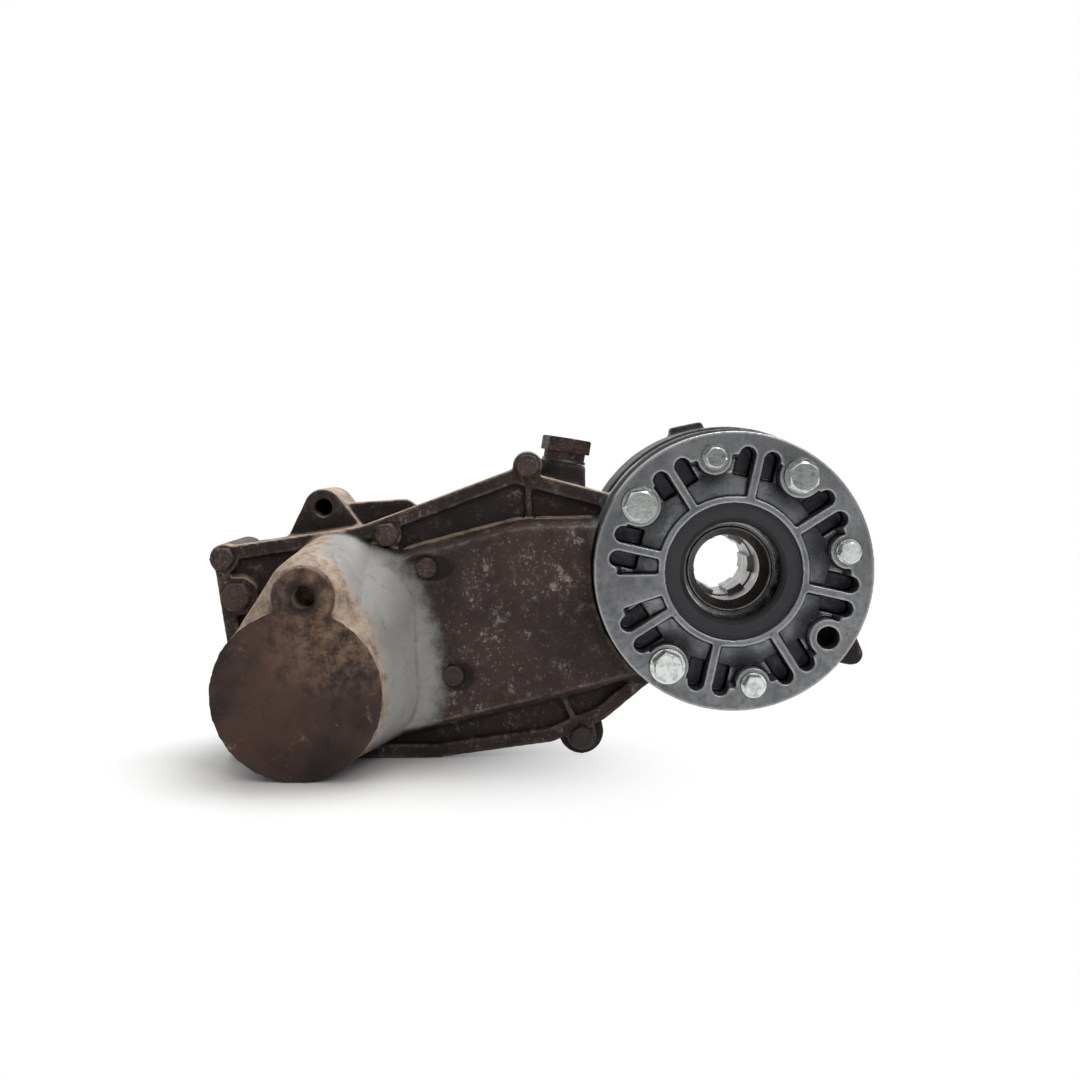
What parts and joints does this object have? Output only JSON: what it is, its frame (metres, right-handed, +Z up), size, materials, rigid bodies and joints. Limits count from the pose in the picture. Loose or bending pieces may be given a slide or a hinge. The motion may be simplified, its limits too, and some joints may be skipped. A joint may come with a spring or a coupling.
{
  "type": "transfer case",
  "caption": "Aluminium transfer case: a hollow splined input shaft drives a toothed chain to an offset viscous coupling in a closed tube, with an output flange at the rear.",
  "frame": {"origin": "on the input axis, in the mounting face of the adapter plate", "axes": "+Y along the input axis from the adapter plate to the rear, +X towards the side away from the output, +Z up"},
  "size_m": [0.37, 0.164, 0.1898],
  "materials": {
    "aged_cast_aluminium": "sand-cast, heat-browned and grimy",
    "clean_cast_aluminium": "die-cast, blasted",
    "zinc_plated_steel": "bright zinc plate",
    "rusted_steel": "rusted and oily",
    "machined_steel": "turned, oiled",
    "bearing_steel": "ground",
    "hardened_chain_steel": "dark, hardened, oiled",
    "seal_rubber": "matte",
    "gasket_rubber": "matte",
    "ferrite": "dull",
    "soft_aluminium": "plain",
    "sintered_bronze": "oiled"
  },
  "bodies": {
    "root": {"front_case": "aged_cast_aluminium", "rear_case": "aged_cast_aluminium", "adapter_plate": "clean_cast_aluminium", "case_gasket": "gasket_rubber", "adapter_o_ring": "seal_rubber", "input_seal_case": "seal_rubber", "input_seal_lip": "seal_rubber", "rear_seal_case": "seal_rubber", "rear_seal_lip": "seal_rubber", "output_seal_case": "seal_rubber", "output_seal_lip": "seal_rubber", "input_seal_spring": "machined_steel", "rear_seal_spring": "machined_steel", "output_seal_spring": "machined_steel", "dowel_pins": "machined_steel", "adapter_bolts_large": "zinc_plated_steel", "adapter_bolts_small": "zinc_plated_steel", "core_plugs": "rusted_steel", "rim_bolts": "rusted_steel", "side_bolt": "rusted_steel", "side_bolt_washer": "rusted_steel", "fill_plug": "rusted_steel", "drain_plug": "rusted_steel", "vent": "rusted_steel", "plug_washers": "soft_aluminium", "sump_magnet": "ferrite", "input_bearing_outer_races": "bearing_steel", "output_front_bearing_outer_race": "bearing_steel", "output_rear_bearing_outer_race": "bearing_steel", "chain_outer_links": "hardened_chain_steel", "chain_inner_links": "hardened_chain_steel"},
    "input_rotor": {"input_shaft": "machined_steel", "drive_sprocket": "machined_steel", "input_spacer": "machined_steel", "sprocket_circlip": "machined_steel", "input_bearing_inner_races": "bearing_steel"},
    "driven_rotor": {"driven_sprocket": "machined_steel", "coupling_drum": "machined_steel", "drum_screws": "machined_steel", "coupling_cover": "machined_steel", "coupling_outer_plates": "machined_steel", "sprocket_bush": "sintered_bronze"},
    "output_rotor": {"coupling_hub": "machined_steel", "coupling_inner_plates": "machined_steel", "output_shaft": "machined_steel", "thrust_washer": "machined_steel", "output_spacer": "machined_steel", "dust_shield": "machined_steel", "output_flange": "rusted_steel", "flange_nut": "rusted_steel", "flange_nut_washer": "rusted_steel", "output_front_bearing_inner_race": "bearing_steel", "output_rear_bearing_inner_race": "bearing_steel"},
    "input_balls": {"input_bearing_balls": "bearing_steel", "input_bearing_cages": "bearing_steel"},
    "output_front_balls": {"output_front_bearing_balls": "bearing_steel", "output_front_bearing_cage": "bearing_steel"},
    "output_rear_balls": {"output_rear_bearing_balls": "bearing_steel", "output_rear_bearing_cage": "bearing_steel"}
  },
  "joints": [
    {"name": "input_spin", "type": "hinge", "parent": "root", "child": "input_rotor", "pos_m": [0, 0, 0], "axis": [0, 1, 0], "continuous": true, "deforming": ["chain_outer_links", "chain_inner_links"]},
    {"name": "driven_spin", "type": "hinge", "parent": "root", "child": "driven_rotor", "pos_m": [-0.2299, 0, -0.06203], "axis": [0, 1, 0], "continuous": true},
    {"name": "output_spin", "type": "hinge", "parent": "root", "child": "output_rotor", "pos_m": [-0.2299, 0, -0.06203], "axis": [0, 1, 0], "continuous": true},
    {"name": "input_balls_spin", "type": "hinge", "parent": "root", "child": "input_balls", "pos_m": [0, 0, 0], "axis": [0, 1, 0], "continuous": true},
    {"name": "output_front_balls_spin", "type": "hinge", "parent": "root", "child": "output_front_balls", "pos_m": [-0.2299, 0, -0.06203], "axis": [0, 1, 0], "continuous": true},
    {"name": "output_rear_balls_spin", "type": "hinge", "parent": "root", "child": "output_rear_balls", "pos_m": [-0.2299, 0, -0.06203], "axis": [0, 1, 0], "continuous": true}
  ],
  "couplings": [
    {"joint": "driven_spin", "follows": "input_spin", "ratio": 1},
    {"joint": "input_balls_spin", "follows": "input_spin", "ratio": 0.43277},
    {"joint": "output_front_balls_spin", "follows": "output_spin", "ratio": 0.38175},
    {"joint": "output_rear_balls_spin", "follows": "output_spin", "ratio": 0.36782}
  ]
}
